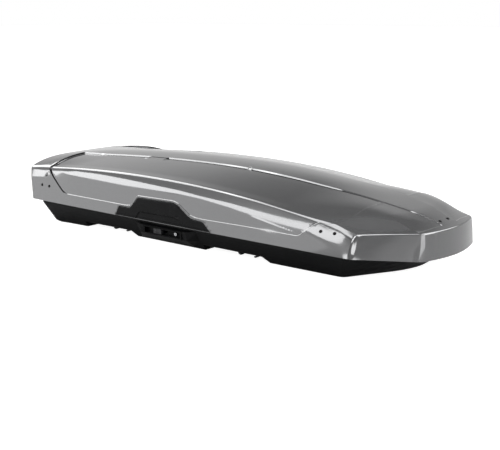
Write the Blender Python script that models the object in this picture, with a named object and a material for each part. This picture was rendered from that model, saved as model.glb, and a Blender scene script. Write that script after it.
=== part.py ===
"""Roof cargo box that opens from both sides. Metres, +X to the nose, +Y to the left, +Z up.

The origin is on the ground under the middle of the box. A silver lid shell sits over a black
base tub. Two pairs of lifter arms join them: each pair turns on the base at one side and on the
lid at the other side, so either side opens about the opposite one.
"""

import math
from collections import namedtuple

import bmesh
import bpy
from mathutils import Vector

# Driving sizes
LENGTH = 2.32
WIDTH = 0.95
HEIGHT = 0.375
WALL = 0.004
GAP = 0.0004
FIT = 0.003

# Lid
EDGE_Z = 0.116
NOSE_EDGE_Z = 0.086
CORNER_EDGE_Z = 0.088
CROWN_X = -0.05
CROWN_DROP_REAR = 0.0422
CROWN_DROP_FRONT = 0.108
SHOULDER_X = -0.33
SHOULDER_Z = 0.320
SHOULDER_DROP_REAR = 0.0646
SHOULDER_DROP_FRONT = 0.0759
SHOULDER_POWER_FRONT = 2.2
CROWN_ROUND = 0.35
PILLOW_REAR = (-0.80, -1.08)
PILLOW_FRONT = (0.50, 0.90)
PILLOW_POWER = 4
FRONT_Z = 0.203
FRONT_REACH = 0.17
ROOF_RINGS = (0.96, 0.87, 0.76, 0.64, 0.52, 0.40, 0.28, 0.16, 0.06)

TRIM_DEPTH = 0.002
TRIM_TOP = ((-0.440, 0.122), (-0.426, 0.156), (-0.353, 0.158), (-0.301, 0.216), (-0.18, 0.216),
            (-0.055, 0.216), (0.055, 0.165), (0.134, 0.155), (0.181, 0.122))

# Base tub
RIM_Z = 0.128
WALL_FOOT_Z = 0.096
BAY_TOP_Z = 0.087
BAY_LOW_Z = 0.046
BAY_FOOT_Z = 0.012
BAY_X = (-0.345, 0.055)
BAY_RAMP = 0.05
BAY_HALF = 0.448
CHANNEL_Z = 0.026
CHANNELS = ((-0.741, -0.381), (0.064, 0.445))
CHANNEL_STEP = 0.004
CHANNEL_SLOPE = 0.036
FOOT_EDGE = 0.007

# Hinges and lifter arms
AXIS_Y = 0.440
AXIS_Z = 0.140
OPENING_ARM_X = (-0.93, 0.62)
ARM_PITCH = 0.05
ARM_THICK = 0.005
ARM_RADIUS = 0.008
PIN_RADIUS = 0.004
PIN_CLEARANCE = 0.0005
EAR_THICK = 0.003
EAR_CLEARANCE = 0.0007
BASE_EAR_RADIUS = 0.0105
LID_EAR_RADIUS = 0.0095
SPRING_RADIUS = 0.0068
SPRING_WIRE = 0.0011
SPRING_TURNS = 4

# Latches
LATCH_TRAVEL = 0.02
BAR_Y = (0.4045, 0.4075)
BAR_Z = (0.100, 0.112)
BAR_X = (-0.76, 0.575)
STRIKER_X = (-0.66, -0.06, 0.54)
STRIKER_Z = 0.138
HOOK_TOP = 0.152
LOCK_X = (-0.275, -0.020)
LOCK_Z = (0.048, 0.085)
LOCK_Y = (0.412, 0.450)
RECESS_FLOOR_Y = 0.431
HANDLE_X = (-0.204, -0.154)
CYLINDER_X = -0.067
CYLINDER_RADIUS = 0.008
LOCK_MID_Z = 0.0665

# Crossbar clamps
CLAMP_X = (-0.5335, 0.2975)
CLAMP_Y = 0.34
CLAMP_HALF_X = 0.078
CLAMP_HALF_Y = 0.032
CLAMP_TOP = 0.070
JAW_HALF_Y = 0.010
SLOT_HALF_X = 0.0665
SLOT_HALF_Y = 0.0125
KNOB_RADIUS = 0.030
SHAFT_RADIUS = 0.008

# Inner stiffening
RAIL_Y = 0.270
RAIL_X = (-0.80, 0.50)
RIB_X = (-0.42, 0.28)
RIB_HALF_X = 0.024
RIB_HALF_Y = 0.34

REAR_STEPS = 3
CORNER_STEPS = 4
BEND_STEPS = 2
FACET_STEPS = 3
NOSE_STEPS = 4
MID_X = -0.05
BEND = 0.018

Level = namedtuple("Level", "rear_x corner rear_half mid_half bend point nose_x")

LID_EDGE = Level(-1.105, 0.035, 0.464, WIDTH / 2, (0.923, 0.470), (1.118, 0.232), LENGTH / 2)
LID_TOP = Level(-LENGTH / 2, 0.030, 0.418, 0.420, (0.906, 0.389), (1.110, 0.224), 1.148)
TUB_RIM = Level(-1.070, 0.040, 0.434, 0.434, (0.885, 0.434), (1.075, 0.205), 1.112)
TUB_FOOT = Level(-1.000, 0.055, 0.410, 0.378, (0.835, 0.366), (0.935, 0.165), 0.984)

SIDES = (("left", 1), ("right", -1))
ENDS = ("rear", "front")


def mix(a, b, t):
    """A point or number a part t of the way from a to b."""
    if isinstance(a, (int, float)):
        return a + (b - a) * t
    return tuple(p + (q - p) * t for p, q in zip(a, b))


def bend_points(a, corner, b, steps):
    """A rounded corner from a to b."""
    points = []
    for i in range(steps + 1):
        t = i / steps
        points.append(mix(mix(a, corner, t), mix(corner, b, t), t))
    return points


def side_half(level, x):
    """Half width of a level along its long side."""
    if x < MID_X:
        return mix(level.mid_half, level.rear_half, ((MID_X - x) / (MID_X - level.rear_x)) ** 2)
    return mix(level.mid_half, level.bend[1], ((x - MID_X) / (level.bend[0] - MID_X)) ** 2)


def nose_x(level, y):
    return level.nose_x - (level.nose_x - level.point[0]) * (y / level.point[1]) ** 2


def half_outline(level, stations):
    """Outline of the left half of a level, from the rear middle round to the nose middle."""
    straight = level.rear_half - level.corner
    points = [(level.rear_x, straight * i / REAR_STEPS) for i in range(REAR_STEPS)]
    for i in range(CORNER_STEPS + 1):
        angle = math.pi - math.pi / 2 * i / CORNER_STEPS
        points.append((level.rear_x + level.corner * (1 + math.cos(angle)),
                       straight + level.corner * math.sin(angle)))
    points += [(x, side_half(level, x)) for x in stations]
    facet = Vector(level.point) - Vector(level.bend)
    step = facet.normalized() * BEND
    before = (level.bend[0] - BEND, side_half(level, level.bend[0] - BEND))
    after = tuple(Vector(level.bend) + step)
    points += bend_points(before, level.bend, after, BEND_STEPS)
    into = tuple(Vector(level.point) - step)
    points += [mix(after, into, i / FACET_STEPS) for i in range(1, FACET_STEPS)]
    out_y = level.point[1] - BEND
    points += bend_points(into, level.point, (nose_x(level, out_y), out_y), BEND_STEPS)
    for i in range(1, NOSE_STEPS + 1):
        y = out_y * (1 - i / NOSE_STEPS)
        points.append((nose_x(level, y), y))
    return points


def whole_loop(half):
    """Both halves of an outline of 3D points as one loop."""
    return half + [(x, -y, z) for x, y, z in reversed(half[1:-1])]


def shoulder_z(x):
    if x < SHOULDER_X:
        return SHOULDER_Z - SHOULDER_DROP_REAR * (SHOULDER_X - x) ** 2
    return SHOULDER_Z - SHOULDER_DROP_FRONT * (x - SHOULDER_X) ** SHOULDER_POWER_FRONT


def crown_z(x):
    drop = CROWN_DROP_REAR if x < CROWN_X else CROWN_DROP_FRONT
    return HEIGHT - drop * (x - CROWN_X) ** 2


def smooth(low, high, value):
    t = min(1, max(0, (value - low) / (high - low)))
    return t * t * (3 - 2 * t)


def ridge_z(x, y):
    """Height of a soft ridge over straight flanks, which swell into a pillow at both ends."""
    across = abs(y) / side_half(LID_TOP, x)
    fall = math.hypot(across, CROWN_ROUND) - CROWN_ROUND
    fall /= math.hypot(1, CROWN_ROUND) - CROWN_ROUND
    pillow = max(smooth(*PILLOW_REAR, x), smooth(*PILLOW_FRONT, x))
    return mix(crown_z(x), shoulder_z(x), mix(fall, across ** PILLOW_POWER, pillow))


def front_x(y):
    """Where the roof's front edge lies at a distance y from the middle."""
    (bend_x, bend_y), (point_x, point_y) = LID_TOP.bend, LID_TOP.point
    if y < point_y:
        return LID_TOP.nose_x - (LID_TOP.nose_x - point_x) * (y / point_y) ** 2
    return mix(point_x, bend_x, (y - point_y) / (bend_y - point_y))


def roof_z(x, y):
    """Height of the roof's outer face: the ridge, levelled out towards the front edge."""
    y = abs(y)
    across = min(y, LID_TOP.bend[1])
    front = front_x(across)
    near = smooth(-FRONT_REACH, 0, x - front)
    return ridge_z(x, y) + (FRONT_Z - ridge_z(front, across)) * near


def edge_z(x, y):
    """Height of the lid's lower edge, which droops over the nose."""
    if x <= LID_EDGE.bend[0]:
        return EDGE_Z
    if y >= LID_EDGE.point[1]:
        span = LID_EDGE.bend[1] - LID_EDGE.point[1]
        return mix(CORNER_EDGE_Z, EDGE_Z, min(1, (y - LID_EDGE.point[1]) / span))
    return mix(NOSE_EDGE_Z, CORNER_EDGE_Z, y / LID_EDGE.point[1])


def lid_wall_half(x, z):
    """Distance from the middle plane to the lid's outer side face."""
    rise = (z - EDGE_Z) / (shoulder_z(x) - EDGE_Z)
    return mix(side_half(LID_EDGE, x), side_half(LID_TOP, x), rise)


def floor_z(x):
    """Height of the tub's underside: raised over the crossbars."""
    for low, high in CHANNELS:
        up = (x - low) / CHANNEL_STEP
        down = (high - x) / CHANNEL_SLOPE
        if up > 0 and down > 0:
            return CHANNEL_Z * min(1, up, down)
    return 0.0


def bay(x, z):
    """How far the tub wall swells for the lock bay, from 0 to 1."""
    along = min((x - BAY_X[0]) / BAY_RAMP, (BAY_X[1] - x) / BAY_RAMP, 1)
    up = (WALL_FOOT_Z - z) / (WALL_FOOT_Z - BAY_TOP_Z)
    down = (z - BAY_FOOT_Z) / (BAY_LOW_Z - BAY_FOOT_Z)
    return max(0, min(along, 1)) * max(0, min(up, down, 1))


def tub_point(foot, rim, z):
    """A point of the tub's outer wall at height z, between its foot and its rim."""
    x, y = mix(foot, rim, min(1, z / WALL_FOOT_Z))
    swell = bay(x, z)
    if swell and y > TUB_FOOT.point[1]:
        y = mix(y, BAY_HALF - (BAY_TOP_Z - min(z, BAY_TOP_Z)) * 0.1, swell)
    return x, y, z


def material(name, color, roughness, metallic=0.0):
    found = bpy.data.materials.get(name)
    if found:
        return found
    made = bpy.data.materials.new(name)
    made.use_nodes = True
    shader = made.node_tree.nodes["Principled BSDF"]
    shader.inputs["Base Color"].default_value = (*color, 1)
    shader.inputs["Roughness"].default_value = roughness
    shader.inputs["Metallic"].default_value = metallic
    made.diffuse_color = (*color, 1)
    return made


def silver():
    return material("silver_gloss", (0.33, 0.335, 0.34), 0.22, 0.6)


def black():
    return material("black_plastic", (0.018, 0.019, 0.021), 0.5)


def steel():
    return material("plated_steel", (0.55, 0.56, 0.58), 0.35, 1.0)


def dark_metal():
    return material("dark_metal", (0.06, 0.06, 0.065), 0.4, 0.8)


def grey_plastic():
    return material("grey_plastic", (0.12, 0.12, 0.125), 0.45)


def add(name, bm, finish, origin=(0, 0, 0)):
    """A new object from a bmesh in world places, with its own origin."""
    bmesh.ops.recalc_face_normals(bm, faces=bm.faces[:])
    mesh = bpy.data.meshes.new(name)
    bmesh.ops.translate(bm, vec=-Vector(origin), verts=bm.verts[:])
    bm.to_mesh(mesh)
    bm.free()
    obj = bpy.data.objects.new(name, mesh)
    obj.location = origin
    mesh.materials.append(finish)
    mesh.shade_smooth()
    mesh.set_sharp_from_angle(angle=math.radians(35))
    bpy.context.scene.collection.objects.link(obj)
    return obj


def join(obj, tools, operation):
    """Adds or cuts other solids and keeps the result as the object's own mesh."""
    for tool in tools:
        cut = obj.modifiers.new("cut", "BOOLEAN")
        cut.operation = operation
        cut.solver = "EXACT"
        cut.object = tool
    bpy.context.view_layer.update()
    graph = bpy.context.evaluated_depsgraph_get()
    result = bpy.data.meshes.new_from_object(obj.evaluated_get(graph))
    obj.modifiers.clear()
    obj.data = result
    for tool in tools:
        bpy.data.objects.remove(tool)
    return obj


def prism(outline, low, high, axis):
    """An outline drawn in the two other axes, in their order, pushed along axis."""
    bm = bmesh.new()
    rows = []
    for level in (low, high):
        row = []
        for a, b in outline:
            place = {"X": (level, a, b), "Y": (a, level, b), "Z": (a, b, level)}[axis]
            row.append(bm.verts.new(place))
        rows.append(row)
    bm.faces.new(rows[0])
    bm.faces.new(reversed(rows[1]))
    for i in range(len(outline)):
        j = (i + 1) % len(outline)
        bm.faces.new((rows[0][i], rows[1][i], rows[1][j], rows[0][j]))
    return bm


def block(x, y, z):
    """A box between pairs of limits; a pair may be given high end first."""
    corners = [(x[0], y[0]), (x[1], y[0]), (x[1], y[1]), (x[0], y[1])]
    return prism(corners, min(z), max(z), "Z")


def ring(center, radius, steps, start=0.0, sweep=2 * math.pi):
    """Points of a circle or, with a sweep, of an arc that keeps both its ends."""
    count = steps if sweep == 2 * math.pi else steps + 1
    angles = [start + sweep * i / steps for i in range(count)]
    return [(center[0] + radius * math.cos(a), center[1] + radius * math.sin(a)) for a in angles]


def rod(center, radius, low, high, axis, steps=14):
    return prism(ring(center, radius, steps), low, high, axis)


def tool(bm):
    return add("tool", bm, black())


def mirrored(points, side):
    return [(y * side, z) for y, z in points]


def skin(bm, lower, upper):
    """Joins two loops of vertices with faces that point away from the middle."""
    for i in range(len(lower)):
        j = (i + 1) % len(lower)
        bm.faces.new((lower[j], lower[i], upper[i], upper[j]))


def add_shell(name, bm, finish):
    """A thin shell that grows inwards from an open outer skin."""
    mesh = bpy.data.meshes.new(name)
    bm.to_mesh(mesh)
    bm.free()
    mesh.materials.append(finish)
    mesh.shade_smooth()
    mesh.set_sharp_from_angle(angle=math.radians(35))
    obj = bpy.data.objects.new(name, mesh)
    bpy.context.scene.collection.objects.link(obj)
    thick = obj.modifiers.new("thickness", "SOLIDIFY")
    thick.thickness = WALL
    thick.offset = -1
    thick.use_even_offset = True
    bpy.context.view_layer.update()
    graph = bpy.context.evaluated_depsgraph_get()
    obj.data = bpy.data.meshes.new_from_object(obj.evaluated_get(graph))
    obj.modifiers.clear()
    return obj


def lid_stations():
    start = LID_TOP.rear_x + 0.10
    end = LID_TOP.bend[0] - 0.06
    return [mix(start, end, i / 15) for i in range(16)]


def make_lid_shell():
    stations = lid_stations()
    edge = half_outline(LID_EDGE, stations)
    top = half_outline(LID_TOP, stations)
    bm = bmesh.new()
    low = [(x, y, edge_z(x, y)) for x, y in edge]
    high = [(x, y, roof_z(x, y)) for x, y in top]
    loops = [low, [mix(a, b, 0.5) for a, b in zip(low, high)], high]
    for scale in ROOF_RINGS:
        loops.append([(x * scale, y * scale, roof_z(x * scale, y * scale)) for x, y in top])
    rings = [[bm.verts.new(p) for p in whole_loop(loop)] for loop in loops]
    for lower, upper in zip(rings, rings[1:]):
        skin(bm, lower, upper)
    peak = bm.verts.new((0, 0, roof_z(0, 0)))
    last = rings[-1]
    for i in range(len(last)):
        bm.faces.new((last[(i + 1) % len(last)], last[i], peak))
    lid = add_shell("lid_shell", bm, silver())
    grown = trim_columns(GAP, 0.03)
    pockets = [tool(wall_patch(grown, side, 0.006, TRIM_DEPTH + GAP)) for _, side in SIDES]
    return join(lid, pockets, "DIFFERENCE")


def trim_columns(grow=0.0, drop=0.0):
    """Side view of the black trim as columns (x, bottom, top): a raised middle, two low shelves."""
    bottom = EDGE_Z + 0.0006 - drop
    columns = [(x, bottom, z + grow) for x, z in TRIM_TOP]
    first, last = columns[0], columns[-1]
    columns[0] = (first[0] - grow, bottom, first[2])
    columns[-1] = (last[0] + grow, bottom, last[2])
    return columns


def wall_patch(columns, side, out, depth):
    """A plate that lies on the lid's side face, from out outside it to depth inside it."""
    bm = bmesh.new()
    sheets = []
    for shift in (out, -depth):
        sheets.append([[bm.verts.new((x, side * (lid_wall_half(x, z) + shift), z)) for z in (low, high)]
                       for x, low, high in columns])
    front, back = sheets
    for sheet in sheets:
        for a, b in zip(sheet, sheet[1:]):
            bm.faces.new((a[0], a[1], b[1]))
            bm.faces.new((a[0], b[1], b[0]))
    for k in (0, 1):
        for i in range(len(columns) - 1):
            bm.faces.new((front[i][k], front[i + 1][k], back[i + 1][k], back[i][k]))
    for i in (0, -1):
        bm.faces.new((front[i][0], front[i][1], back[i][1], back[i][0]))
    return bm


def make_trims():
    for name, side in SIDES:
        add(f"{name}_side_trim", wall_patch(trim_columns(), side, 0.0, TRIM_DEPTH), black())


def tub_stations():
    """Places along the tub's sides where its section changes, and some between them."""
    marks = [TUB_FOOT.rear_x + 0.10, -0.82, 0.62, 0.72]
    for low, high in CHANNELS:
        marks += [low, low + CHANNEL_STEP, high - CHANNEL_SLOPE, high]
    for end, inner in ((BAY_X[0], 1), (BAY_X[1], -1)):
        marks += [end, end + inner * BAY_RAMP]
    marks += [-0.55, 0.53]
    return sorted(marks)


def make_base_tub():
    stations = tub_stations()
    foot = half_outline(TUB_FOOT, stations)
    rim = half_outline(TUB_RIM, stations)
    count = len(foot)
    bm = bmesh.new()

    def loop(height):
        points = []
        for f, r in zip(foot, rim):
            points.append(tub_point(f, r, height(f[0])))
        return points

    levels = [loop(lambda x: floor_z(x) + FOOT_EDGE), loop(lambda x: BAY_LOW_Z),
              loop(lambda x: BAY_TOP_Z), loop(lambda x: WALL_FOOT_Z), loop(lambda x: RIM_Z)]
    ground = []
    for x, y, z in levels[0]:
        inset = 1 - FOOT_EDGE / TUB_FOOT.mid_half
        ground.append((x if abs(x) < 0.8 else x * inset, y * inset, z - FOOT_EDGE))
    rings = [[bm.verts.new(p) for p in whole_loop(points)] for points in [ground] + levels]
    for lower, upper in zip(rings, rings[1:]):
        skin(bm, lower, upper)
    first = REAR_STEPS + CORNER_STEPS + 1
    last = first + len(stations) - 1
    base = rings[0]
    total = len(base)
    left = {i: base[i] for i in range(count)}
    right = {i: base[(total - i) % total] for i in range(count)}
    bm.faces.new([left[i] for i in range(first + 1)] + [right[i] for i in range(first, 0, -1)])
    for i in range(first, last):
        bm.faces.new((left[i], left[i + 1], right[i + 1], right[i]))
    nose = [left[i] for i in range(last, count)] + [right[i] for i in range(count - 2, last - 1, -1)]
    bm.faces.new(nose)
    tub = add_shell("base_tub", bm, black())
    cuts = []
    for _, side in SIDES:
        cuts.append(block((LOCK_X[0] - GAP, LOCK_X[1] + GAP), (side * 0.38, side * 0.47),
                          (LOCK_Z[0] - GAP, LOCK_Z[1] + GAP)))
        for x in CLAMP_X:
            cuts.append(block((x - SLOT_HALF_X, x + SLOT_HALF_X),
                              (side * CLAMP_Y - SLOT_HALF_Y, side * CLAMP_Y + SLOT_HALF_Y),
                              (CHANNEL_Z - 0.01, CHANNEL_Z + 0.02)))
    return join(tub, [tool(bm) for bm in cuts], "DIFFERENCE")


def make_rails():
    """Two channel rails along the floor, which carry the load of the clamps."""
    half, thick, lip, base = 0.025, 0.003, 0.012, CHANNEL_Z + WALL + GAP
    shape = [(-half, 0), (half, 0), (half, lip), (half - thick, lip), (half - thick, thick),
             (thick - half, thick), (thick - half, lip), (-half, lip)]
    for name, side in SIDES:
        outline = [(side * RAIL_Y + y, base + z) for y, z in shape]
        add(f"{name}_floor_rail", prism(outline, *RAIL_X, "X"), steel())


def make_ribs():
    """Cross ribs under the roof skin."""
    for end, x in zip(ENDS, RIB_X):
        steps = 12
        ys = [mix(-RIB_HALF_Y, RIB_HALF_Y, i / steps) for i in range(steps + 1)]
        under = WALL + 0.003
        depth = 0.012
        top = [(y, min(roof_z(x - RIB_HALF_X, y), roof_z(x + RIB_HALF_X, y)) - under) for y in ys]
        outline = top + [(y, z - depth) for y, z in reversed(top)]
        add(f"lid_rib_{end}", prism(outline, x - RIB_HALF_X, x + RIB_HALF_X, "X"), grey_plastic())


def ears(outline, x):
    """Two plates on either side of an arm that lies at x."""
    inner = ARM_THICK / 2 + EAR_CLEARANCE
    outer = inner + EAR_THICK
    return [prism(outline, x + inner, x + outer, "X"), prism(outline, x - outer, x - inner, "X")]


def make_base_bracket(name, side, x, finish):
    """Clevis on the tub wall that reaches over the rim and holds an arm's fixed pin."""
    wall = TUB_RIM.mid_half - WALL - GAP
    foot = WALL_FOOT_Z + 0.002
    end = ring((AXIS_Y, AXIS_Z), BASE_EAR_RADIUS, 8, -math.pi / 2, math.pi)
    ear = mirrored([(0.404, foot), (wall, foot), (wall, AXIS_Z - BASE_EAR_RADIUS)] + end
                   + [(0.404, AXIS_Z + BASE_EAR_RADIUS)], side)
    plate = block((x - 0.020, x + 0.020), (side * (wall - 0.003), side * wall), (foot, RIM_Z - 0.002))
    half = ARM_THICK / 2 + EAR_CLEARANCE + EAR_THICK
    pin = rod((side * AXIS_Y, AXIS_Z), PIN_RADIUS, x - half - 0.024, x + half + 0.001, "X")
    first, second = ears(ear, x)
    bracket = add(name, first, finish)
    return join(bracket, [tool(second), tool(plate), tool(pin)], "UNION")


def make_lid_bracket(name, side, x, finish):
    """Clevis on the lid wall that holds the pin at an arm's other end."""
    low, high = AXIS_Z - LID_EAR_RADIUS, AXIS_Z + LID_EAR_RADIUS

    def wall(z):
        return lid_wall_half(x, z) - WALL - FIT

    end = ring((AXIS_Y, AXIS_Z), LID_EAR_RADIUS, 8, math.pi / 2, math.pi)
    ear = mirrored(end + [(wall(low), low), (wall(high), high)], side)
    plate = mirrored([(wall(low) - 0.003, low), (wall(low), low), (wall(high), high),
                      (wall(high) - 0.003, high)], side)
    half = ARM_THICK / 2 + EAR_CLEARANCE + EAR_THICK
    pin = rod((side * AXIS_Y, AXIS_Z), PIN_RADIUS, x - half - 0.001, x + half + 0.001, "X")
    first, second = ears(ear, x)
    bracket = add(name, first, finish)
    return join(bracket, [tool(second), tool(prism(plate, x - 0.018, x + 0.018, "X")), tool(pin)],
                "UNION")


def make_arm(name, side, x):
    """Flat arm across the box; side is the side where it turns on the base."""
    left = ring((AXIS_Y, AXIS_Z), ARM_RADIUS, 8, -math.pi / 2, math.pi)
    right = ring((-AXIS_Y, AXIS_Z), ARM_RADIUS, 8, math.pi / 2, math.pi)
    bar = prism(left + right, x - ARM_THICK / 2, x + ARM_THICK / 2, "X")
    arm = add(name, bar, dark_metal(), (x, side * AXIS_Y, AXIS_Z))
    hole = PIN_RADIUS + PIN_CLEARANCE
    holes = [tool(rod((y, AXIS_Z), hole, x - 0.01, x + 0.01, "X")) for y in (AXIS_Y, -AXIS_Y)]
    return join(arm, holes, "DIFFERENCE")


def sweep(path, radius, sides=6):
    """A round wire along a path, with closed ends."""
    bm = bmesh.new()
    rings = []
    for i, point in enumerate(path):
        ahead = Vector(path[min(i + 1, len(path) - 1)])
        behind = Vector(path[max(i - 1, 0)])
        along = (ahead - behind).normalized()
        across = Vector((1, 0, 0)) - along * along.x
        across.normalize()
        other = along.cross(across)
        loop = []
        for k in range(sides):
            angle = 2 * math.pi * k / sides
            offset = across * math.cos(angle) + other * math.sin(angle)
            loop.append(bm.verts.new(Vector(point) + offset * radius))
        rings.append(loop)
    for a, b in zip(rings, rings[1:]):
        for i in range(sides):
            j = (i + 1) % sides
            bm.faces.new((a[i], a[j], b[j], b[i]))
    bm.faces.new(rings[0])
    bm.faces.new(reversed(rings[-1]))
    return bm


def make_spring(name, side, x):
    """Torsion spring round a fixed pin, with two legs that point inwards."""
    start = x - ARM_THICK / 2 - EAR_CLEARANCE - EAR_THICK - 0.003
    pitch = 2 * SPRING_WIRE + 0.0012
    steps = 12
    path = [(start, side * (AXIS_Y - 0.030), AXIS_Z + SPRING_RADIUS)]
    for i in range(int(steps * (SPRING_TURNS + 0.5)) + 1):
        angle = 2 * math.pi * i / steps
        path.append((start - pitch * i / steps, side * (AXIS_Y + SPRING_RADIUS * math.sin(angle)),
                     AXIS_Z + SPRING_RADIUS * math.cos(angle)))
    path.append((path[-1][0], side * (AXIS_Y - 0.022), AXIS_Z - SPRING_RADIUS))
    return add(name, sweep(path, SPRING_WIRE), steel())


def make_lifters():
    for end, x in zip(ENDS, OPENING_ARM_X):
        other = x + ARM_PITCH
        make_arm(f"right_opening_arm_{end}", 1, x)
        make_base_bracket(f"left_base_bracket_{end}", 1, x, dark_metal())
        make_spring(f"left_lift_spring_{end}", 1, x)
        make_lid_bracket(f"right_lid_bracket_{end}", -1, x, dark_metal())
        make_arm(f"left_opening_arm_{end}", -1, other)
        make_base_bracket(f"right_base_bracket_{end}", -1, other, dark_metal())
        make_spring(f"right_lift_spring_{end}", -1, other)
        make_lid_bracket(f"left_lid_bracket_{end}", 1, other, dark_metal())


def make_striker(name, side, x):
    """Pin on the lid wall that the latch bar's hook slides over."""
    low, high = STRIKER_Z - 0.007, STRIKER_Z + 0.020

    def wall(z):
        return lid_wall_half(x, z) - WALL - FIT

    shape = mirrored([(wall(low) - 0.016, low), (wall(low), low), (wall(high), high),
                      (wall(high) - 0.004, high), (wall(low) - 0.016, STRIKER_Z + 0.007)], side)
    plate = add(name, prism(shape, x - 0.010, x + 0.010, "X"), steel())
    pin = rod((x, STRIKER_Z), PIN_RADIUS, min(side * 0.398, side * 0.450),
              max(side * 0.398, side * 0.450), "Y")
    return join(plate, [tool(pin)], "UNION")


def make_latch_bar(name, side):
    """Long sliding bar with an upright hook at each striker and a tab for the handle's pin."""
    low, high = sorted((side * BAR_Y[0], side * BAR_Y[1]))
    bottom, top = BAR_Z
    outline = [(BAR_X[0], bottom)]
    tab = mix(*HANDLE_X, 0.5)
    outline += [(tab - 0.011, bottom), (tab - 0.011, LOCK_MID_Z - 0.008),
                (tab + 0.011, LOCK_MID_Z - 0.008), (tab + 0.011, bottom), (BAR_X[1], bottom),
                (BAR_X[1], top)]
    clear = PIN_RADIUS + 0.001
    for x in reversed(STRIKER_X):
        stem = x - clear - LATCH_TRAVEL
        under = STRIKER_Z + clear + 0.0005
        outline += [(stem, top), (stem, under), (x - clear, under), (x - clear, under + 0.0045),
                    (x - clear - 0.005, HOOK_TOP), (stem - 0.012, HOOK_TOP), (stem - 0.012, top)]
    outline.append((BAR_X[0], top))
    bar = add(name, prism(outline, low, high, "Y"), steel(), (tab, side * BAR_Y[0], top))
    return join(bar, [tool(rod((tab, LOCK_MID_Z), 0.0035, low - 0.01, high + 0.01, "Y"))], "DIFFERENCE")


def make_lock_housing(name, side):
    """Housing let into the tub wall, with a finger recess for the handle and a lock bore."""
    body = add(name, block(LOCK_X, (side * LOCK_Y[0], side * LOCK_Y[1]), LOCK_Z), black())
    recess = block((LOCK_X[0] + 0.013, LOCK_X[1] - 0.010),
                   (side * RECESS_FLOOR_Y, side * (LOCK_Y[1] + 0.01)),
                   (LOCK_Z[0] + 0.005, LOCK_Z[1] - 0.005))
    slot = block((HANDLE_X[0] + 0.005, HANDLE_X[1] + LATCH_TRAVEL + 0.009),
                 (side * 0.40, side * (RECESS_FLOOR_Y + 0.001)),
                 (LOCK_MID_Z - 0.0055, LOCK_MID_Z + 0.0055))
    ends = sorted((side * 0.40, side * (RECESS_FLOOR_Y + 0.001)))
    bore = rod((CYLINDER_X, LOCK_MID_Z), CYLINDER_RADIUS + PIN_CLEARANCE, *ends, "Y", 20)
    return join(body, [tool(recess), tool(slot), tool(bore)], "DIFFERENCE")


def make_handle(name, side):
    """Slide handle: a scooped grip, a stem through the slot and a pin into the latch bar."""
    low, high = LOCK_MID_Z - 0.0115, LOCK_MID_Z + 0.0115
    middle = mix(*HANDLE_X, 0.5)
    face = side * (LOCK_Y[1] - 0.002)
    origin = (middle, face, LOCK_MID_Z)
    grip = add(name, block(HANDLE_X, (side * (RECESS_FLOOR_Y + GAP), face), (low, high)),
               grey_plastic(), origin)
    stem = block((HANDLE_X[0] + 0.010, HANDLE_X[1] - 0.010),
                 (side * (LOCK_Y[0] - 0.002), side * (RECESS_FLOOR_Y + 0.004)),
                 (LOCK_MID_Z - 0.004, LOCK_MID_Z + 0.004))
    ends = sorted((side * (BAR_Y[0] - 0.002), side * (LOCK_Y[0] + 0.004)))
    pin = rod((middle, LOCK_MID_Z), 0.003, *ends, "Y")
    join(grip, [tool(stem), tool(pin)], "UNION")
    scoop = rod((middle + 0.004, side * (LOCK_Y[1] + 0.012)), 0.020, low + 0.003, high + 0.01, "Z", 20)
    return join(grip, [tool(scoop)], "DIFFERENCE")


def make_cylinder(name, side):
    """Key cylinder with a key slot outside and a cam inside."""
    ends = sorted((side * (LOCK_Y[0] - 0.001), side * (RECESS_FLOOR_Y + 0.010)))
    origin = (CYLINDER_X, side * RECESS_FLOOR_Y, LOCK_MID_Z)
    barrel = add(name, rod((CYLINDER_X, LOCK_MID_Z), CYLINDER_RADIUS, *ends, "Y", 20), steel(), origin)
    cam = block((CYLINDER_X - 0.004, CYLINDER_X + 0.004),
                (side * (LOCK_Y[0] - 0.0035), side * (LOCK_Y[0] - 0.0005)),
                (LOCK_MID_Z - 0.015, LOCK_MID_Z + 0.004))
    join(barrel, [tool(cam)], "UNION")
    keyway = block((CYLINDER_X - 0.001, CYLINDER_X + 0.001),
                   (side * (RECESS_FLOOR_Y + 0.006), side * (RECESS_FLOOR_Y + 0.012)),
                   (LOCK_MID_Z - 0.0045, LOCK_MID_Z + 0.0045))
    return join(barrel, [tool(keyway)], "DIFFERENCE")


def make_latches():
    for name, side in SIDES:
        make_lock_housing(f"{name}_lock_housing", side)
        make_handle(f"{name}_slide_handle", side)
        make_cylinder(f"{name}_lock_cylinder", side)
        make_latch_bar(f"{name}_latch_bar", side)
        for place, x in zip(("rear", "middle", "front"), STRIKER_X):
            make_striker(f"{name}_striker_{place}", side, x)


def make_clamp_housing(name, x, y):
    bottom = CHANNEL_Z + WALL + GAP
    body = add(name, block((x - CLAMP_HALF_X, x + CLAMP_HALF_X), (y - CLAMP_HALF_Y, y + CLAMP_HALF_Y),
                           (bottom, CLAMP_TOP)), black())
    skin_thick = 0.003
    hollow = block((x - CLAMP_HALF_X + skin_thick, x + CLAMP_HALF_X - skin_thick),
                   (y - CLAMP_HALF_Y + skin_thick, y + CLAMP_HALF_Y - skin_thick),
                   (bottom - 0.01, CLAMP_TOP - skin_thick))
    hole = rod((x, y), SHAFT_RADIUS + PIN_CLEARANCE, CLAMP_TOP - 0.01, CLAMP_TOP + 0.01, "Z", 20)
    return join(body, [tool(hollow), tool(hole)], "DIFFERENCE")


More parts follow.
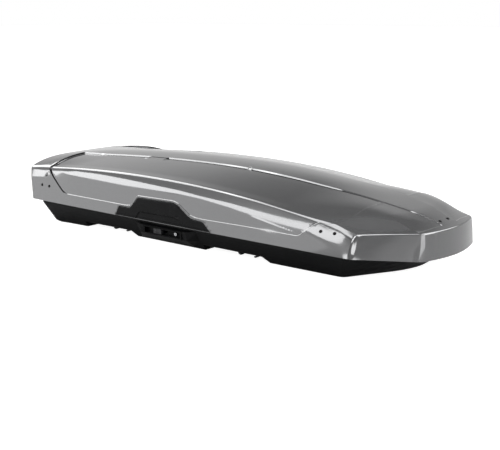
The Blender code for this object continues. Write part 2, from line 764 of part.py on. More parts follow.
def make_knob(name, x, y):
    """Fluted hand knob on a shaft whose pinion drives both jaws."""
    points = []
    steps = 36
    for i in range(steps):
        angle = 2 * math.pi * i / steps
        radius = KNOB_RADIUS - 0.0025 * (1 + math.cos(6 * angle)) / 2
        points.append((x + radius * math.cos(angle), y + radius * math.sin(angle)))
    low = CLAMP_TOP + GAP
    knob = add(name, prism(points, low, low + 0.018, "Z"), grey_plastic(), (x, y, low))
    shaft = rod((x, y), SHAFT_RADIUS, 0.046, low + 0.004, "Z", 20)
    pinion = rod((x, y), 0.012, 0.0445, 0.052, "Z", 20)
    return join(knob, [tool(shaft), tool(pinion)], "UNION")


def make_jaw(name, x, y, way):
    """Hooked jaw under the tub on a rack inside the clamp; way is +1 for the front jaw."""
    shape = [(0.016, 0.036), (0.0500, 0.036), (0.0500, 0.0170), (0.0475, 0.0115), (0.0430, 0.0092),
             (0.0375, 0.0088), (0.0355, 0.0060), (0.0385, 0.0030), (0.0460, 0.0026), (0.0535, 0.0060),
             (0.0575, 0.0120), (0.0585, 0.0190), (0.0585, 0.0430), (0.016, 0.0430)]
    outline = [(x + way * dx, z) for dx, z in shape]
    bm = prism(outline, y - JAW_HALF_Y, y + JAW_HALF_Y, "Y")
    return add(name, bm, dark_metal(), (x + way * 0.0585, y, 0.0430))


def make_clamps():
    for end, x in zip(ENDS, CLAMP_X):
        for name, side in SIDES:
            y = side * CLAMP_Y
            make_clamp_housing(f"{name}_{end}_clamp_housing", x, y)
            make_knob(f"{name}_{end}_clamp_knob", x, y)
            make_jaw(f"{name}_{end}_clamp_jaw_front", x, y, 1)
            make_jaw(f"{name}_{end}_clamp_jaw_rear", x, y, -1)


def main():
    for old in list(bpy.data.objects):
        bpy.data.objects.remove(old)
    make_base_tub()
    make_lid_shell()
    make_trims()
    make_rails()
    make_ribs()
    make_lifters()
    make_latches()
    make_clamps()


main()
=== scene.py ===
"""Looks of the roof cargo box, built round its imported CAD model. Metres, +X to the nose, +Z up."""

import math
from collections import namedtuple

import bpy
import numpy as np
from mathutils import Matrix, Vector
from mathutils.geometry import delaunay_2d_cdt
from mathutils.kdtree import KDTree


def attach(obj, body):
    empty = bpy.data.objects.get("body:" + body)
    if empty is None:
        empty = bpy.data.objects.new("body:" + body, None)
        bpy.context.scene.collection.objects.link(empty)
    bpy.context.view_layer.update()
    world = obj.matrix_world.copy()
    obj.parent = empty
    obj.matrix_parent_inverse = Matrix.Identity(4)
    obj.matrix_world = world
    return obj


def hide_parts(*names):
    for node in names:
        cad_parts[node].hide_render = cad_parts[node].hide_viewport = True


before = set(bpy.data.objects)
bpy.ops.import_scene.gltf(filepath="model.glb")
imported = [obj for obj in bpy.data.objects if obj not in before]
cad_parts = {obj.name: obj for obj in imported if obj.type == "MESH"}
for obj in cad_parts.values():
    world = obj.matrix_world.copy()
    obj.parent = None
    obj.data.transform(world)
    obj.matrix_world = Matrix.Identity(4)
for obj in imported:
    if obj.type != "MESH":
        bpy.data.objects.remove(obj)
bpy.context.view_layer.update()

# factors that leave a place on the left side or mirror it to the right side
LEFT = (1, 1, 1)
RIGHT = (1, -1, 1)
SIDES = (("left", LEFT), ("right", RIGHT))

# ------------------------ sizes of the lid's surface
LENGTH = 2.32
WIDTH = 0.95
HEIGHT = 0.375
EDGE_Z = 0.116
NOSE_EDGE_Z = 0.086
CORNER_EDGE_Z = 0.088
CROWN_X = -0.05
CROWN_DROP_REAR = 0.0422
CROWN_DROP_FRONT = 0.108
SHOULDER_X = -0.33
SHOULDER_Z = 0.320
SHOULDER_DROP_REAR = 0.0646
SHOULDER_DROP_FRONT = 0.0759
SHOULDER_POWER_FRONT = 2.2
CROWN_ROUND = 0.35
PILLOW_REAR = (-0.80, -1.08)
PILLOW_FRONT = (0.50, 0.90)
PILLOW_POWER = 4
FRONT_Z = 0.203
FRONT_REACH = 0.17
MID_X = -0.05
SHEET = 0.003
POCKET_DEEP = 0.0040

# the lid's outline at one level: rear end, corner radius, half widths, side bend, nose corner, nose
Level = namedtuple("Level", "rear_x corner rear_half mid_half bend point nose_x")
LID_EDGE = Level(-1.105, 0.024, 0.464, WIDTH / 2, (0.923, 0.470), (1.118, 0.232), LENGTH / 2)
LID_TOP = Level(-LENGTH / 2, 0.016, 0.418, 0.420, (0.906, 0.389), (1.110, 0.224), 1.148)
SIDE_BEND = 0.009
NOSE_BEND = 0.018
REAR_SHIFT_REACH = 0.30
FRONT_SHIFT_X = 0.55
# samples on each stretch of an outline, from the rear to the nose
REAR_STEPS = 24
CORNER_STEPS = 28
SIDE_STEPS = 180
BEND_STEPS = 16
FACET_STEPS = 40
POINT_STEPS = 20
NOSE_STEPS = 40


def smooth(low, high, value):
    t = np.clip((np.asarray(value, float) - low) / (high - low), 0, 1)
    return t * t * (3 - 2 * t)


def side_half(level, x):
    """Half the width of the lid at x on a level."""
    x = np.asarray(x, float)
    rear = level.mid_half + (level.rear_half - level.mid_half) * ((MID_X - x) / (MID_X - level.rear_x)) ** 2
    front = level.mid_half + (level.bend[1] - level.mid_half) * ((x - MID_X) / (level.bend[0] - MID_X)) ** 2
    return np.where(x < MID_X, rear, front)


def shoulder_z(x):
    """Height of the shoulder between roof and side wall."""
    x = np.asarray(x, float)
    rear = SHOULDER_Z - SHOULDER_DROP_REAR * (SHOULDER_X - x) ** 2
    front = SHOULDER_Z - SHOULDER_DROP_FRONT * np.clip(x - SHOULDER_X, 0, None) ** SHOULDER_POWER_FRONT
    return np.where(x < SHOULDER_X, rear, front)


def crown_z(x):
    """Height of the roof on the middle line."""
    x = np.asarray(x, float)
    return HEIGHT - np.where(x < CROWN_X, CROWN_DROP_REAR, CROWN_DROP_FRONT) * (x - CROWN_X) ** 2


def ridge_z(x, y):
    """Height of the roof without its fall to the nose; both ends of it are flatter across than the middle."""
    across = np.abs(y) / side_half(LID_TOP, x)
    fall = (np.hypot(across, CROWN_ROUND) - CROWN_ROUND) / (math.hypot(1, CROWN_ROUND) - CROWN_ROUND)
    pillow = np.maximum(smooth(*PILLOW_REAR, x), smooth(*PILLOW_FRONT, x))
    fall = fall + (np.minimum(across, 1.2) ** PILLOW_POWER - fall) * pillow
    return crown_z(x) + (shoulder_z(x) - crown_z(x)) * fall


def front_x(y):
    """Where the top outline's front end runs, by the distance from the middle line."""
    (bend_x, bend_y), (point_x, point_y) = LID_TOP.bend, LID_TOP.point
    nose = LID_TOP.nose_x - (LID_TOP.nose_x - point_x) * (y / point_y) ** 2
    facet = point_x + (bend_x - point_x) * (y - point_y) / (bend_y - point_y)
    return np.where(y < point_y, nose, facet)


def roof_z(x, y):
    """Height of the roof with its fall to the nose."""
    across = np.minimum(np.abs(y), LID_TOP.bend[1])
    front = front_x(across)
    near = smooth(-FRONT_REACH, 0, x - front)
    return ridge_z(x, y) + (FRONT_Z - ridge_z(front, across)) * near


def edge_z(x, y):
    """Height of the lid's lower edge."""
    outer = LID_EDGE.bend[1] - LID_EDGE.point[1]
    facet = CORNER_EDGE_Z + (EDGE_Z - CORNER_EDGE_Z) * np.clip((y - LID_EDGE.point[1]) / outer, 0, 1)
    nose = NOSE_EDGE_Z + (CORNER_EDGE_Z - NOSE_EDGE_Z) * np.clip(y / LID_EDGE.point[1], 0, 1)
    return np.where(x <= LID_EDGE.bend[0], EDGE_Z, np.where(y >= LID_EDGE.point[1], facet, nose))


def bezier(a, b, c, steps):
    t = np.linspace(0, 1, steps + 1)[:, None]
    a, b, c = (np.array(p, float) for p in (a, b, c))
    return (1 - t) ** 2 * a + 2 * t * (1 - t) * b + t * t * c


def half_outline(level, rear_shift, front_shift):
    """Dense outline of a level's left half from rear to nose, point for point alike on both levels."""
    straight = level.rear_half - level.corner
    points = [(level.rear_x, straight * t) for t in np.linspace(0, 1, REAR_STEPS, endpoint=False)]
    for angle in np.linspace(math.pi, math.pi / 2, CORNER_STEPS, endpoint=False):
        points.append((level.rear_x + level.corner * (1 + math.cos(angle)),
                       straight + level.corner * math.sin(angle)))
    x = np.linspace(LID_TOP.rear_x + LID_TOP.corner, LID_TOP.bend[0] - SIDE_BEND, SIDE_STEPS)
    at_rear = 1 - smooth(x[0], x[0] + REAR_SHIFT_REACH, x)
    x = x + rear_shift * at_rear + front_shift * smooth(FRONT_SHIFT_X, x[-1], x)
    points += list(zip(x, side_half(level, x)))
    corner, point = np.array(level.bend), np.array(level.point)
    along = (point - corner) / np.linalg.norm(point - corner)
    after = corner + along * SIDE_BEND
    points += [tuple(p) for p in bezier(points[-1], corner, after, BEND_STEPS)[1:]]
    into = point - along * NOSE_BEND
    points += [tuple(after + (into - after) * t) for t in np.linspace(0, 1, FACET_STEPS)[1:]]
    out_y = level.point[1] - NOSE_BEND
    drop = (level.nose_x - level.point[0]) / level.point[1] ** 2
    out = (level.nose_x - drop * out_y ** 2, out_y)
    points += [tuple(p) for p in bezier(into, point, out, POINT_STEPS)[1:]]
    points += [(level.nose_x - drop * y * y, y) for y in np.linspace(out_y, 0, NOSE_STEPS)[1:]]
    return np.array(points, float)


TOP = half_outline(LID_TOP, 0.0, 0.0)
LOW = half_outline(LID_EDGE, LID_EDGE.rear_x + LID_EDGE.corner - LID_TOP.rear_x - LID_TOP.corner,
                   LID_EDGE.bend[0] - LID_TOP.bend[0])
TOP3 = np.column_stack([TOP, roof_z(TOP[:, 0], TOP[:, 1])])
LOW3 = np.column_stack([LOW, edge_z(LOW[:, 0], LOW[:, 1])])
TANGENT = np.gradient(TOP, axis=0)
TANGENT[0], TANGENT[-1] = (0, 1), (0, -1)
TANGENT /= np.linalg.norm(TANGENT, axis=1)[:, None]
WALL_HIGH = np.linalg.norm(TOP3 - LOW3, axis=1)
ARC = np.concatenate([[0], np.cumsum(np.linalg.norm(np.diff(TOP, axis=0), axis=1))])


def blur(values, count):
    for _ in range(count):
        values = np.concatenate([values[:1], (values[:-2] + 2 * values[1:-1] + values[2:]) / 4, values[-1:]])
    return values


def first_index(test):
    return int(np.argmax(test))


BEND_AT = first_index(TOP[:, 0] > LID_TOP.bend[0])
SIDE_ARC = 0.42
ON_SIDE = (ARC > SIDE_ARC) & (ARC < ARC[BEND_AT])
SIDE_FRONT = smooth(0.45, 0.75, TOP[:, 0])
SIDE_FILLET = 0.012
NOSE_FILLET = 0.006
# how full the walls are: on the side, how much more at the side's front, and at both ends
SWELLS = (0.26, 0.12, 0.10)
# the share of a wall's height that is curved, at the same places
TURNS = (0.45, 0.30, 0.60)
FILLET = blur(np.where(ARC < ARC[BEND_AT] - 0.05, SIDE_FILLET, NOSE_FILLET), 12)
SWELL = blur(np.where(ON_SIDE, SWELLS[0] + SWELLS[1] * SIDE_FRONT, SWELLS[2]), 6)
TURN = blur(np.where(ON_SIDE, TURNS[0] + TURNS[1] * SIDE_FRONT, TURNS[2]), 6)


def search_tree(path):
    """A tree that finds the point of a path that is nearest to a place."""
    made = KDTree(len(path))
    for i, (x, y) in enumerate(path):
        made.insert((x, y, 0), i)
    made.balance()
    return made


def nearest_in(tree, p):
    return np.array([tree.find((x, y, 0))[1] for x, y in p], int)


TOP_TREE = search_tree(TOP)


def nearest(p):
    """Number of the outline's sample that is nearest to each point of the unfolded lid."""
    return nearest_in(TOP_TREE, p)


def left_of(t):
    """Directions turned a quarter to the left."""
    return np.column_stack([-t[:, 1], t[:, 0]])


def along_outline(p, near):
    """For points of the unfolded lid: outline segment, part of it, foot, normal and distance outwards."""
    k = near.copy()
    for _ in range(3):
        before = ((p - TOP[k]) * TANGENT[k]).sum(1) < 0
        k = np.clip(k - before, 0, len(TOP) - 2)
        f1 = ((p - TOP[k + 1]) * TANGENT[k + 1]).sum(1)
        k = np.clip(k + (f1 > 0), 0, len(TOP) - 2)
    f0 = ((p - TOP[k]) * TANGENT[k]).sum(1)
    f1 = ((p - TOP[k + 1]) * TANGENT[k + 1]).sum(1)
    u = np.clip(f0 / np.where(np.abs(f0 - f1) < 1e-12, 1e-12, f0 - f1), 0, 1)
    q = lerp_rows(TOP, k, u)
    t = lerp_rows(TANGENT, k, u)
    t /= np.linalg.norm(t, axis=1)[:, None]
    normal = left_of(t)
    return k, u, q, normal, ((p - q) * normal).sum(1)


def lerp_rows(table, k, u):
    """Values of a table between its rows k and k + 1."""
    if table.ndim == 1:
        return table[k] * (1 - u) + table[k + 1] * u
    return table[k] * (1 - u)[:, None] + table[k + 1] * u[:, None]


def wall_point(k, u, normal, down):
    """Point of the wall a distance down from the shoulder; the wall stands a little proud of its chord."""
    top, low = lerp_rows(TOP3, k, u), lerp_rows(LOW3, k, u)
    high = lerp_rows(WALL_HIGH, k, u)
    eta = down / high
    chord = (low - top) / high[:, None]
    out = np.column_stack([normal, np.zeros(len(normal))])
    out -= (out * chord).sum(1)[:, None] * chord
    out /= np.linalg.norm(out, axis=1)[:, None]
    turn = lerp_rows(TURN, k, u)
    v = np.clip(eta / turn, 0, 1)
    swell = turn * (v - v ** 3 + v ** 4 / 2) - turn / 2 * eta
    amount = lerp_rows(SWELL, k, u) * high
    return top + (low - top) * eta[:, None] + out * (swell * amount)[:, None]


def base_point(p, near):
    """The lid's smooth outer face over its unfolded plan: roof inside the outline, wall outside it."""
    k, u, q, normal, away = along_outline(p, near)
    inside = np.column_stack([p, roof_z(p[:, 0], p[:, 1])])
    radius = lerp_rows(FILLET, k, u)
    deep = np.maximum(away, 0)
    wall = wall_point(k, u, normal, deep)
    inner = q - normal * radius[:, None]
    start = np.column_stack([inner, roof_z(inner[:, 0], inner[:, 1])])
    corner = lerp_rows(TOP3, k, u)
    end = wall_point(k, u, normal, radius)
    t = np.clip((away + radius) / (2 * radius), 0, 1)[:, None]
    bend = (1 - t) ** 2 * start + 2 * t * (1 - t) * corner + t * t * end
    far_in = (away < -radius)[:, None]
    far_out = (away > radius)[:, None]
    return np.where(far_in, inside, np.where(far_out, wall, bend))


def base_normal(p, near, eps=2e-4):
    """Normal of the smooth face and its two slopes along the plan."""
    dx, dy = np.array([eps, 0]), np.array([0, eps])
    a = base_point(p + dx, near) - base_point(p - dx, near)
    b = base_point(p + dy, near) - base_point(p - dy, near)
    n = np.cross(a, b)
    return n / np.linalg.norm(n, axis=1)[:, None], a / (2 * eps), b / (2 * eps)


# ------------------------ features of the lid
PATH_STEP = 0.006
SIDE_ROWS = slice(first_index(ARC > 0.34), BEND_AT + 10)


def unfold_side(points):
    """Places in the unfolded plan of (x, z) points of the left side wall."""
    top, low = TOP3[SIDE_ROWS], LOW3[SIDE_ROWS]
    made = []
    for x, z in points:
        down = (top[:, 2] - z) / (top[:, 2] - low[:, 2])
        k = SIDE_ROWS.start + np.interp(x, top[:, 0] + (low[:, 0] - top[:, 0]) * down, np.arange(len(top)))
        row = np.array([int(k)])
        part = k - row
        q, t = lerp_rows(TOP, row, part)[0], lerp_rows(TANGENT, row, part)[0]
        t /= np.linalg.norm(t)
        down = np.interp(k, np.arange(SIDE_ROWS.start, SIDE_ROWS.stop), down)
        made.append(q + np.array([-t[1], t[0]]) * down * lerp_rows(WALL_HIGH, row, part)[0])
    return np.array(made)


def rounded(points, radii, step=PATH_STEP):
    """A polyline with each inner corner rounded by its own radius, then cut to even steps."""
    points = [np.array(p, float) for p in points]
    path = [points[0]]
    for a, b, c, r in zip(points, points[1:], points[2:], radii):
        if r <= 0:
            path.append(b)
            continue
        back = b + (a - b) / np.linalg.norm(a - b) * r
        ahead = b + (c - b) / np.linalg.norm(c - b) * r
        path += list(bezier(back, b, ahead, 8))
    path.append(points[-1])
    return resample(np.array(path), step)


def resample(path, step):
    length = np.concatenate([[0], np.cumsum(np.linalg.norm(np.diff(path, axis=0), axis=1))])
    count = max(2, int(round(length[-1] / step)) + 1)
    at = np.linspace(0, length[-1], count)
    return np.column_stack([np.interp(at, length, path[:, i]) for i in range(2)])


class Border:
    """A line across the unfolded lid where its face steps down, on the line's right side."""

    def __init__(self, path, width, round_off):
        self.path = path
        self.width = np.broadcast_to(np.asarray(width, float), (len(path),)).copy()
        self.round_off = round_off
        tangent = np.gradient(path, axis=0)
        tangent /= np.linalg.norm(tangent, axis=1)[:, None]
        self.right = np.column_stack([tangent[:, 1], -tangent[:, 0]])
        self.tree = search_tree(path)

    def near(self, p):
        return nearest_in(self.tree, p)

    def signed(self, p, near):
        """Distance to the line, positive on its right side, and the step's width there."""
        best = np.full(len(p), 1e9)
        sign = np.ones(len(p))
        width = np.zeros(len(p))
        for shift in (-1, 0):
            i = np.clip(near + shift, 0, len(self.path) - 2)
            a, b = self.path[i], self.path[i + 1]
            ab = b - a
            t = np.clip(((p - a) * ab).sum(1) / (ab * ab).sum(1), 0, 1)
            gap = p - a - ab * t[:, None]
            d = np.linalg.norm(gap, axis=1)
            side = ab[:, 1] * (p - a)[:, 0] - ab[:, 0] * (p - a)[:, 1]
            better = d < best - 1e-12
            best = np.where(better, d, best)
            sign = np.where(better, np.where(side >= 0, 1, -1), sign)
            width = np.where(better, self.width[i] * (1 - t) + self.width[i + 1] * t, width)
        return best * sign, width

    def drop(self, p, near):
        """How far down the step a point is, from 0 to 1, with rounded edges."""
        d, width = self.signed(p, near)
        r = self.round_off / width
        t = np.clip(d / width, 0, 1)
        peak = 1 / (1 - r)
        begin = peak * t * t / (2 * r)
        end = 1 - peak * (1 - t) ** 2 / (2 * r)
        return np.where(t < r, begin, np.where(t > 1 - r, end, peak * (t - r / 2)))

    def lines(self):
        """The step's four bending lines, each cut where it runs too near another stretch of the border."""
        made = []
        start = 0 * self.width
        for off in (start, start + self.round_off, self.width - self.round_off, self.width):
            points = self.path + self.right * off[:, None]
            d, _ = self.signed(points, self.near(points))
            keep = np.abs(d - off) < 0.06 * off + 3e-4
            run = []
            for point, good in zip(points, keep):
                if good:
                    run.append(point)
                elif run:
                    made.append(np.array(run))
                    run = []
            if run:
                made.append(np.array(run))
        return [line for line in made if len(line) > 1]


TRIM_OUTLINE = ((-0.4395, 0.1175), (-0.426, 0.1535), (-0.4215, 0.161), (-0.343, 0.161), (-0.301, 0.2145),
                (-0.050, 0.2185), (0.050, 0.1600), (0.126, 0.1570), (0.1805, 0.1175))
TRIM_RADII = (0.004, 0.004, 0.010, 0.010, 0.032, 0.028, 0.014)


def trim_outline(grow=0.0, step=0.004):
    """Side view (x, z) of the black trim, from its rear foot over its top to its front foot."""
    path = rounded(TRIM_OUTLINE, TRIM_RADII, step)
    tangent = np.gradient(path, axis=0)
    tangent /= np.linalg.norm(tangent, axis=1)[:, None]
    return path + left_of(tangent) * grow


SPINE_HALF = ((-1.04, 0.136), (-0.2, 0.125), (0.3, 0.118), (0.855, 0.102), (1.10, 0.092))
SPINE_STATIONS = (0.93, -1.13, -0.012)
SPINE_WIDTH = 0.010
SPINE_ROUND = 0.0022
# the sunk panel's border: across the roof's rear (x, y), along the side wall (x, z), across the front (x, y)
PANEL_HEAD = ((-1.075, -0.03), (-1.040, 0.13), (-1.0, 0.36), (-0.990, 0.405))
PANEL_SIDE = ((-0.992, 0.287), (-0.970, 0.258), (-0.845, 0.169), (-0.372, 0.1680), (-0.342, 0.1725),
              (-0.3065, 0.2215), (-0.047, 0.2255), (0.052, 0.1705), (0.110, 0.1665), (0.400, 0.1685),
              (0.655, 0.1645), (0.700, 0.208), (0.726, 0.229))
PANEL_TAIL = ((0.765, 0.402), (0.838, 0.351), (0.855, 0.102), (0.862, -0.03))
PANEL_HEAD_RADII = (0.10, 0.10)
PANEL_SIDE_RADII = (0.02, 0.03, 0.018, 0.006, 0.010, 0.036, 0.028, 0.02, 0.05, 0.016, 0.0)
PANEL_TAIL_RADII = (0.06, 0.10)
PANEL_REAR_X = -0.82
PANEL_REAR_SHARE = 0.3
PANEL_REAR_WIDTH = 0.009
PANEL_WIDTH = 0.0042
PANEL_ROUND = 0.0011
NOSE_PATH = ((1.085, 0.262), (1.102, 0.190), (1.108, 0.120), (1.117, 0.060), (1.094, 0.052), (0.974, 0.087),
             (0.855, 0.102), (0.76, 0.106))
NOSE_RADII = (0.02, 0.02, 0.006, 0.010, 0.03, 0.05)
NOSE_WIDTH = 0.0045
NOSE_ROUND = 0.0012
POCKET_GROW = 0.0007
POCKET_WIDTH = 0.0012
POCKET_ROUND = 0.0003
CREASE_PATH = ((0.34, 0.222), (0.50, 0.196), (0.640, 0.174))
CREASE_RADIUS = 0.05
CREASE_WIDTH = 0.010
CREASE_ROUND = 0.001


def spine_half(x):
    """Half the width of the raised ridge along the roof."""
    return np.interp(x, *np.transpose(SPINE_HALF))


def make_borders():
    """Borders of the sunk panel, the ridge, the nose panel, the trim's pocket and the side crease."""
    head = rounded(PANEL_HEAD, PANEL_HEAD_RADII)
    side = unfold_side(rounded(PANEL_SIDE, PANEL_SIDE_RADII))
    tail = rounded(PANEL_TAIL, PANEL_TAIL_RADII)
    path = resample(np.concatenate([head, side, tail]), PATH_STEP)
    share = np.arange(len(path)) / len(path)
    at_rear = (path[:, 0] < PANEL_REAR_X) & (share < PANEL_REAR_SHARE)
    panel = Border(path, blur(np.where(at_rear, PANEL_REAR_WIDTH, PANEL_WIDTH), 8), PANEL_ROUND)
    x = np.arange(*SPINE_STATIONS)
    spine = Border(np.column_stack([x, spine_half(x)]), SPINE_WIDTH, SPINE_ROUND)
    nose = Border(rounded(NOSE_PATH, NOSE_RADII), NOSE_WIDTH, NOSE_ROUND)
    ring = unfold_side(trim_outline(POCKET_GROW)[::-1])
    ring = np.concatenate([[ring[0] + (ring[0] - ring[2])], ring, [ring[-1] + (ring[-1] - ring[-3])]])
    pocket = Border(ring, POCKET_WIDTH, POCKET_ROUND)
    crease = Border(unfold_side(rounded(CREASE_PATH, (CREASE_RADIUS,))), CREASE_WIDTH, CREASE_ROUND)
    return panel, spine, nose, pocket, crease


PANEL, SPINE, NOSE, POCKET, CREASE = make_borders()
BORDERS = (PANEL, SPINE, NOSE, POCKET, CREASE)


# the rear wall's lip: its height, where down the wall it begins, and where round the corner it ends
LIP_PROUD = 0.008
LIP_STARTS = (0.64, 0.69)
LIP_ENDS = (0.36, 0.41)
PANEL_DEEP = 0.0030
ROOF_DEEPER = 0.0024
ROOF_SPAN = (0.35, 0.80)
REAR_DEEPER = 0.0030
REAR_SPAN = (-0.99, -0.80)
# a tab of the ridge that reaches into the panel
TAB_STARTS = (-0.532, -0.520)
TAB_ENDS = (-0.406, -0.394)
TAB_REACH = (0.028, 0.036)
NOSE_DEEP = 0.0030
NOSE_STARTS = (0.80, 0.87)
NOSE_FADES = (0.03, 0.14)
CREASE_PROUD = 0.0008
CREASE_REACH = 0.009
CREASE_STARTS = (0.36, 0.46)
CREASE_ENDS = (0.66, 0.68)


def shift_of(p, near, close):
    """Height of the lid's face over its smooth base: rear lip, sunk panels, trim pocket, side crease."""
    x = p[:, 0]
    away = along_outline(p, near)[4]
    on_roof = smooth(0.0, 0.06, -away)
    lip = LIP_PROUD * smooth(*LIP_STARTS, away / WALL_HIGH[near]) * (1 - smooth(*LIP_ENDS, ARC[near]))
    deep = PANEL_DEEP + ROOF_DEEPER * on_roof * (1 - smooth(*ROOF_SPAN, x))
    deep = deep + REAR_DEEPER * (1 - smooth(*REAR_SPAN, x))
    tab = smooth(*TAB_STARTS, x) * (1 - smooth(*TAB_ENDS, x))
    tab = tab * (1 - smooth(*TAB_REACH, SPINE.signed(p, close[1])[0]))
    panel = deep * PANEL.drop(p, close[0]) * SPINE.drop(p, close[1]) * (1 - tab)
    gap = NOSE.signed(p, close[2])[0]
    fade = (1 - smooth(*NOSE_FADES, gap)) * smooth(*NOSE_STARTS, x) * smooth(0.0, 0.03, -away)
    nose = NOSE_DEEP * NOSE.drop(p, close[2]) * fade
    down = np.maximum(panel, nose)
    pocket = POCKET_DEEP * POCKET.drop(p, close[3])
    gap = np.abs(CREASE.signed(p, close[4])[0])
    end = smooth(*CREASE_STARTS, x) * (1 - smooth(*CREASE_ENDS, x)) * smooth(0, 0.01, away)
    crease = CREASE_PROUD * (1 - smooth(0, CREASE_REACH, gap)) * end
    return crease + lip - np.maximum(down, pocket)


def skin_points(p, borders, height):
    """Places and normals of a skin that stands height(p, near, close) over the lid's smooth base."""
    near = nearest(p)
    close = [border.near(p) for border in borders]
    spot = base_point(p, near)
    normal, du, dv = base_normal(p, near)
    eps = 1.5e-4
    dx, dy = np.array([eps, 0]), np.array([0, eps])
    su = (height(p + dx, near, close) - height(p - dx, near, close)) / (2 * eps)
    sv = (height(p + dy, near, close) - height(p - dy, near, close)) / (2 * eps)
    e, f, g = (du * du).sum(1), (du * dv).sum(1), (dv * dv).sum(1)
    det = e * g - f * f
    slope = du * ((g * su - f * sv) / det)[:, None] + dv * ((e * sv - f * su) / det)[:, None]
    place = spot + normal * height(p, near, close)[:, None]
    turned = normal - slope
    return place, turned / np.linalg.norm(turned, axis=1)[:, None]


def add_line(points, edges, path, closed=False):
    """A path's points and edges put after those that are there; returns the numbers of its points."""
    first = len(points)
    points.extend(Vector(q) for q in path)
    edges.extend((first + i, first + i + 1) for i in range(len(path) - 1))
    if closed:
        edges.append((first + len(path) - 1, first))
    return list(range(first, len(points)))


RIM_STEP = 0.008
WALL_STEP = 0.014
ROOF_STEP = 0.020
WALL_GAP = 0.006
ROOF_GAP = 0.016
MERGE = 2e-5


def lid_plan():
    """Triangles of the unfolded left half of the lid, finer along its borders and its shoulder."""
    points, edges = [], []
    normal = left_of(TANGENT)
    outer = resample_by(ARC, RIM_STEP)
    rim = lerp_rows(TOP + normal * WALL_HIGH[:, None], *outer)
    rim[0, 1] = rim[-1, 1] = 0.0
    middle = np.linspace(rim[-1, 0], rim[0, 0], 150)[1:-1]
    boundary = add_line(points, edges, list(rim) + [(x, 0.0) for x in middle], True)
    for part in (-1, -0.6, -0.2, 0.2, 0.6, 1.0):
        add_line(points, edges, lerp_rows(TOP + normal * (FILLET * part)[:, None], *outer))
    coarse = resample_by(ARC, WALL_STEP)
    for row in np.linspace(0, 1, 13)[1:-1]:
        away = np.maximum(WALL_HIGH * row, FILLET + WALL_GAP)
        spots = lerp_rows(TOP + normal * away[:, None], *coarse)[1:-1]
        points.extend(Vector(q) for q in spots)
    for border in BORDERS:
        for line in border.lines():
            line = line[line[:, 1] > 1e-4]
            if len(line) > 1:
                add_line(points, edges, line)
    grid = np.array([(x, y) for x in np.arange(-1.15, 1.15, ROOF_STEP)
                     for y in np.arange(0.010, 0.43, ROOF_STEP)])
    away = along_outline(grid, nearest(grid))[4]
    points.extend(Vector(q) for q in grid[(away < -ROOF_GAP) & inside_plan(grid)])
    spots, _, faces, *_ = delaunay_2d_cdt(points, edges, [boundary], 1, MERGE)
    plan = np.array([tuple(v) for v in spots])
    plan[np.abs(plan[:, 1]) < MERGE, 1] = 0.0
    return plan, [tuple(f) for f in faces]


def resample_by(length, step):
    """Rows and parts of a table at even steps of its length."""
    at = np.linspace(0, length[-1], int(round(length[-1] / step)) + 1)
    k = np.clip(np.searchsorted(length, at, side="right") - 1, 0, len(length) - 2)
    return k, (at - length[k]) / (length[k + 1] - length[k])


def inside_plan(p):
    """Whether plan points lie inside the lid's top outline."""
    ring = np.concatenate([TOP, TOP[::-1] * (1, -1)])
    x, y = p[:, 0], p[:, 1]
    inside = np.zeros(len(p), bool)
    for (ax, ay), (bx, by) in zip(ring, np.roll(ring, -1, axis=0)):
        crosses = (ay > y) != (by > y)
        if by != ay:
            inside ^= crosses & (x < ax + (bx - ax) * (y - ay) / (by - ay))
    return inside


def mesh_object(name, places, faces, finish, normals=None):
    mesh = bpy.data.meshes.new(name)
    mesh.from_pydata([tuple(p) for p in places], [], faces)
    mesh.polygons.foreach_set("use_smooth", [True] * len(mesh.polygons))
    mesh.update()
    if normals is not None:
        mesh.normals_split_custom_set_from_vertices([tuple(n) for n in normals])
    obj = bpy.data.objects.new(name, mesh)
    bpy.context.scene.collection.objects.link(obj)
    mesh.materials.append(finish)
    return obj


def grid_faces(rows, count):
    """Faces between rows of points that hold count points each."""
    return [(r * count + i, r * count + i + 1, (r + 1) * count + i + 1, (r + 1) * count + i)
            for r in range(rows - 1) for i in range(count - 1)]


def turned_out(place, normal, faces):
    """The faces, which are all wound one way, turned over if they look against their normals."""
    first, second, third = (place[[f[i] for f in faces]] for i in range(3))
    along = (np.cross(second - first, third - first) * normal[[f[0] for f in faces]]).sum()
    return [tuple(reversed(f)) for f in faces] if along < 0 else list(faces)


def closed_sheet(name, outer, outer_n, inner, faces, finish):
    """One closed body: outer faces, the same faces inside, and a lip that joins their rims."""
    total = len(outer)
    once = {(a, b) for f in faces for a, b in zip(f, f[1:] + f[:1])}
    lip = [(b, a, total + a, total + b) for a, b in sorted(once) if (b, a) not in once]
    inside = [tuple(total + i for i in reversed(f)) for f in faces]
    return mesh_object(name, np.concatenate([outer, inner]), faces + inside + lip, finish,
                       np.concatenate([outer_n, -outer_n]))


def make_lid(finish):
    """The lid's sheet: the left half and its mirror image in one closed body, joined on the middle line."""
    plan, faces = lid_plan()
    place, normal = skin_points(plan, BORDERS, shift_of)
    seam = plan[:, 1] == 0.0
    place[seam, 1] = 0.0
    normal[seam, 1] = 0.0
    faces = turned_out(place, normal, faces)
    under = place - normal * SHEET
    under[seam, 1] = 0.0
    other = {i: i for i in np.nonzero(seam)[0]}
    free = [i for i in range(len(plan)) if not seam[i]]
    for j, i in enumerate(free):
        other[i] = len(plan) + j
    faces = faces + [tuple(reversed([other[i] for i in f])) for f in faces]
    both = [np.concatenate([rows, rows[free] * RIGHT]) for rows in (place, normal, under)]
    return closed_sheet("lid_surface", *both, faces, finish)


